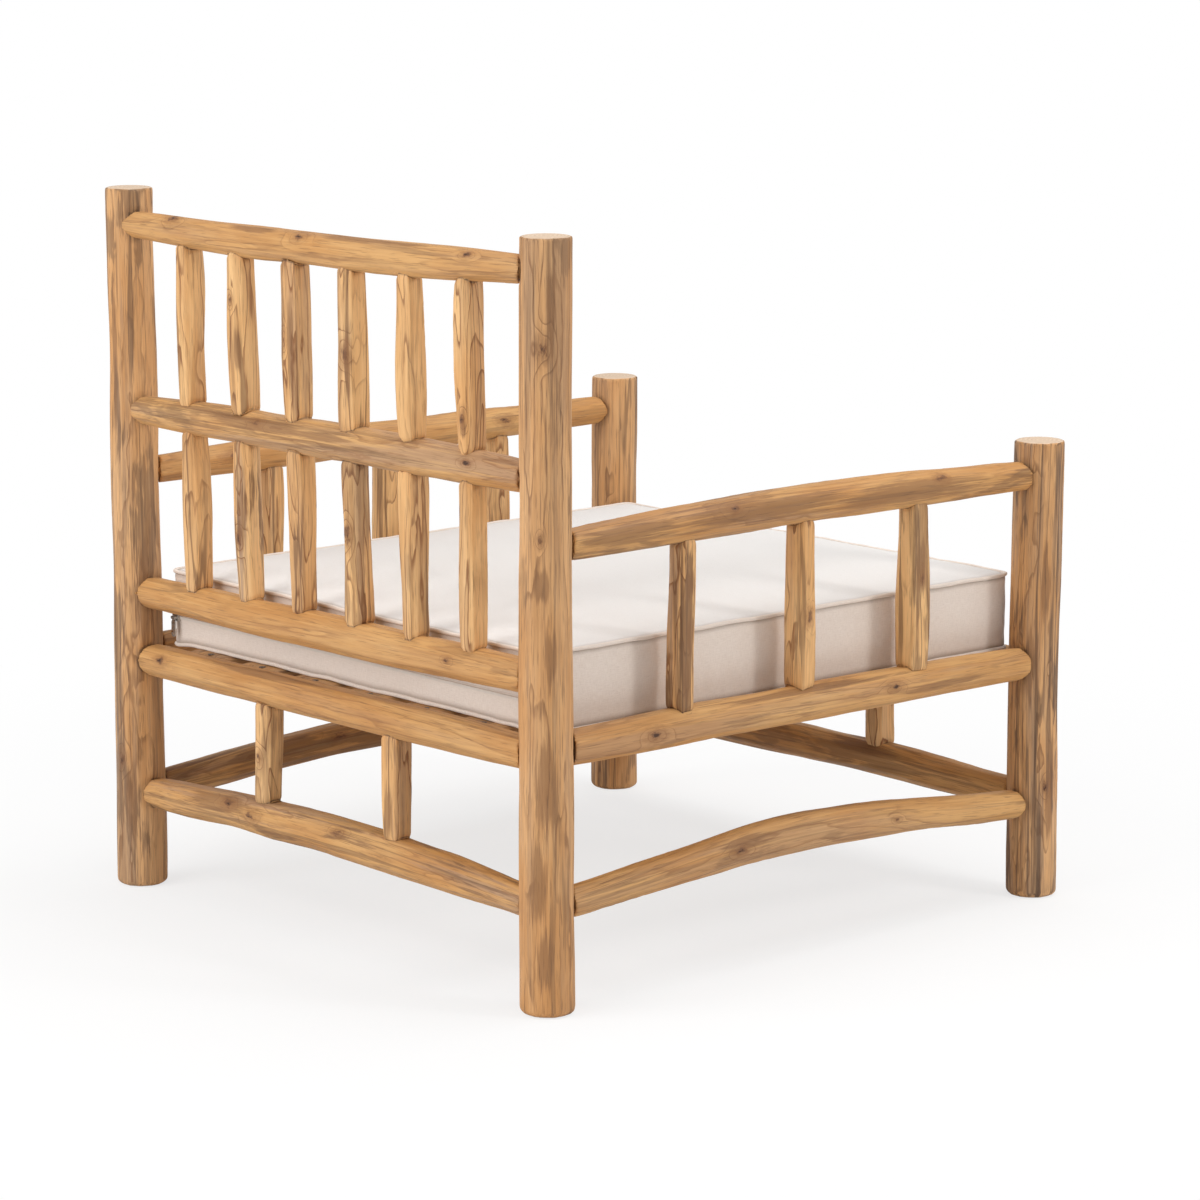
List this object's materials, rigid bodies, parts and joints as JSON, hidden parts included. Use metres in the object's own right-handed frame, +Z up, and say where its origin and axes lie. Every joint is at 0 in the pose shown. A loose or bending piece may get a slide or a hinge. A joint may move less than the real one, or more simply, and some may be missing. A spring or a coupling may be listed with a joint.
{
  "type": "lounge armchair",
  "caption": "Low lounge armchair of round teak branches with spindle back and sides, a slatted seat and a loose zipped box cushion.",
  "frame": {"origin": "centre of the footprint on the floor, midway between the four posts", "axes": "+X to the sitter's left, +Y to the back of the chair, +Z up"},
  "size_m": [0.772, 0.786, 0.8],
  "materials": {
    "teak_post": "bare wood, worn smooth",
    "teak_rail": "bare wood, sanded",
    "teak_spindle": "bare wood, hewn and sanded",
    "teak_slat": "planed bare wood",
    "canvas": "plain cotton canvas",
    "foam": "open-cell foam",
    "zip_tape": "woven tape with nylon teeth",
    "zip_metal": "nickel plated",
    "screw_steel": "plain steel"
  },
  "bodies": {
    "frame": {"back_lower_rail": "teak_rail", "back_lower_spindle_1": "teak_spindle", "back_lower_spindle_2": "teak_spindle", "back_lower_spindle_3": "teak_spindle", "back_lower_spindle_4": "teak_spindle", "back_lower_spindle_5": "teak_spindle", "back_lower_spindle_6": "teak_spindle", "back_middle_rail": "teak_rail", "back_top_rail": "teak_rail", "back_upper_spindle_1": "teak_spindle", "back_upper_spindle_2": "teak_spindle", "back_upper_spindle_3": "teak_spindle", "back_upper_spindle_4": "teak_spindle", "back_upper_spindle_5": "teak_spindle", "back_upper_spindle_6": "teak_spindle", "front_left_post": "teak_post", "front_leg_spindle_1": "teak_spindle", "front_leg_spindle_2": "teak_spindle", "front_right_post": "teak_post", "front_seat_rail": "teak_rail", "front_stretcher": "teak_rail", "left_arm_spindle_1": "teak_spindle", "left_arm_spindle_2": "teak_spindle", "left_arm_spindle_3": "teak_spindle", "left_armrest": "teak_rail", "left_seat_rail": "teak_rail", "left_stretcher": "teak_rail", "rear_left_post": "teak_post", "rear_leg_spindle_1": "teak_spindle", "rear_leg_spindle_2": "teak_spindle", "rear_right_post": "teak_post", "rear_seat_rail": "teak_rail", "rear_stretcher": "teak_rail", "right_arm_spindle_1": "teak_spindle", "right_arm_spindle_2": "teak_spindle", "right_arm_spindle_3": "teak_spindle", "right_armrest": "teak_rail", "right_seat_rail": "teak_rail", "right_stretcher": "teak_rail", "seat_slat_1": "teak_slat", "seat_slat_2": "teak_slat", "seat_slat_3": "teak_slat", "seat_slat_4": "teak_slat", "seat_slat_5": "teak_slat", "seat_slat_6": "teak_slat", "slat_screws": "screw_steel"},
    "cushion": {"cushion_cover": "canvas", "cushion_foam": "foam", "cushion_upper_welt": "canvas", "cushion_lower_welt": "canvas", "zip_chain": "zip_tape"},
    "zip_slider": {"zip_slider": "zip_metal"},
    "zip_pull": {"zip_pull": "zip_metal"}
  },
  "joints": [
    {"name": "cushion_lift", "type": "slide", "parent": "frame", "child": "cushion", "axis": [0, -0.5, 0.866], "range_m": [0, 0.3]},
    {"name": "zip_slide", "type": "slide", "parent": "cushion", "child": "zip_slider", "axis": [-1, 0, 0], "range_m": [0, 0.618]},
    {"name": "zip_pull_swing", "type": "hinge", "parent": "zip_slider", "child": "zip_pull", "pos_m": [0.3095, 0.34779, 0.3143], "axis": [1, 0, 0], "range_deg": [0, 95]}
  ]
}
